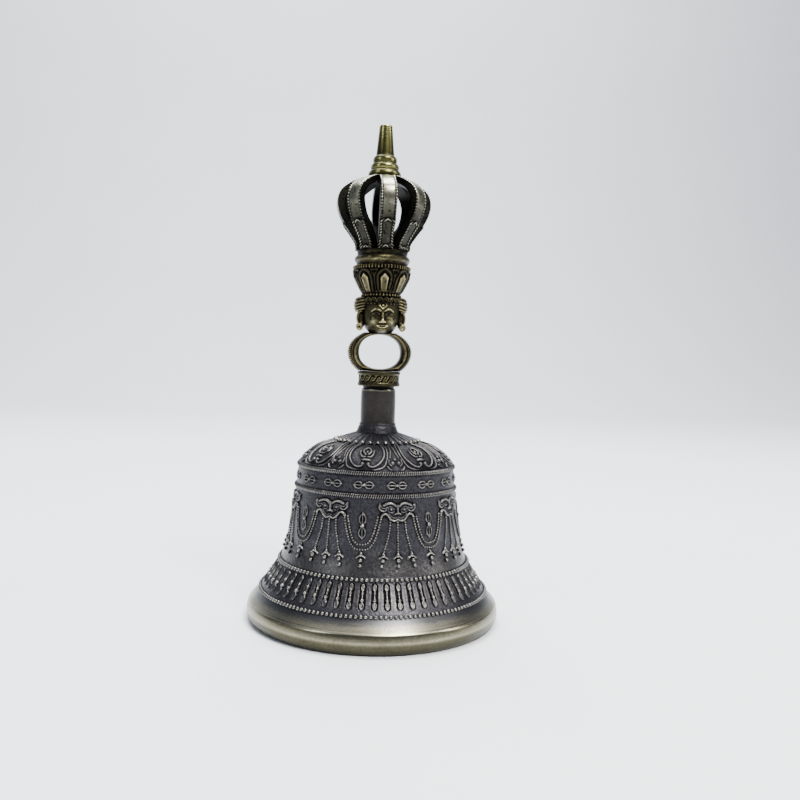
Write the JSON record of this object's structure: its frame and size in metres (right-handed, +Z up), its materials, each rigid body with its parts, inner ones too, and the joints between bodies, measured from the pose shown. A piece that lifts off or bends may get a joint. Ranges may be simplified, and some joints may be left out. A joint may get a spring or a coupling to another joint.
{
  "type": "hand bell",
  "caption": "Tibetan ritual hand bell: cast bell with swinging clapper, brass handle with finger ring, head, lotus crown and pronged half-vajra finial.",
  "frame": {"origin": "centre of the mouth, in the plane that the rim stands on", "axes": "+Z up the bell's axis to the tip of the handle, -Y the side that the face on the handle looks to, +X to its left"},
  "size_m": [0.0952, 0.0952, 0.1854],
  "materials": {
    "bell_bronze": "dark cast bell bronze, worn bright on the relief",
    "dark_bronze": "dark turned bronze",
    "antique_brass": "antique brass with dark recesses",
    "white_metal": "silvery cast metal with dark patina",
    "steel": "dull plain steel",
    "iron": "dark forged iron"
  },
  "bodies": {
    "bell": {"bell_shell": "bell_bronze", "neck_sleeve": "dark_bronze", "tang_stud": "steel", "crown_washer": "steel", "handle_collar": "antique_brass", "finger_ring": "antique_brass", "head": "antique_brass", "lotus_crown": "antique_brass", "prong_seat": "antique_brass", "centre_prong": "white_metal", "outer_prong_1": "white_metal", "outer_prong_2": "white_metal", "outer_prong_3": "white_metal", "outer_prong_4": "white_metal", "outer_prong_5": "white_metal", "outer_prong_6": "white_metal", "outer_prong_7": "white_metal", "outer_prong_8": "white_metal", "finial_tip": "antique_brass", "eye_nut": "steel"},
    "link": {"link_ring": "steel"},
    "clapper": {"clapper_rod": "iron", "clapper_bulb": "iron"}
  },
  "joints": [
    {"name": "link_swing", "type": "hinge", "parent": "bell", "child": "link", "pos_m": [0, 0, 0.0514], "axis": [1, 0, 0], "range_deg": [-38, 38]},
    {"name": "clapper_sway", "type": "hinge", "parent": "link", "child": "clapper", "pos_m": [0, 0, 0.0438], "axis": [0, 1, 0], "range_deg": [-12, 12]}
  ]
}
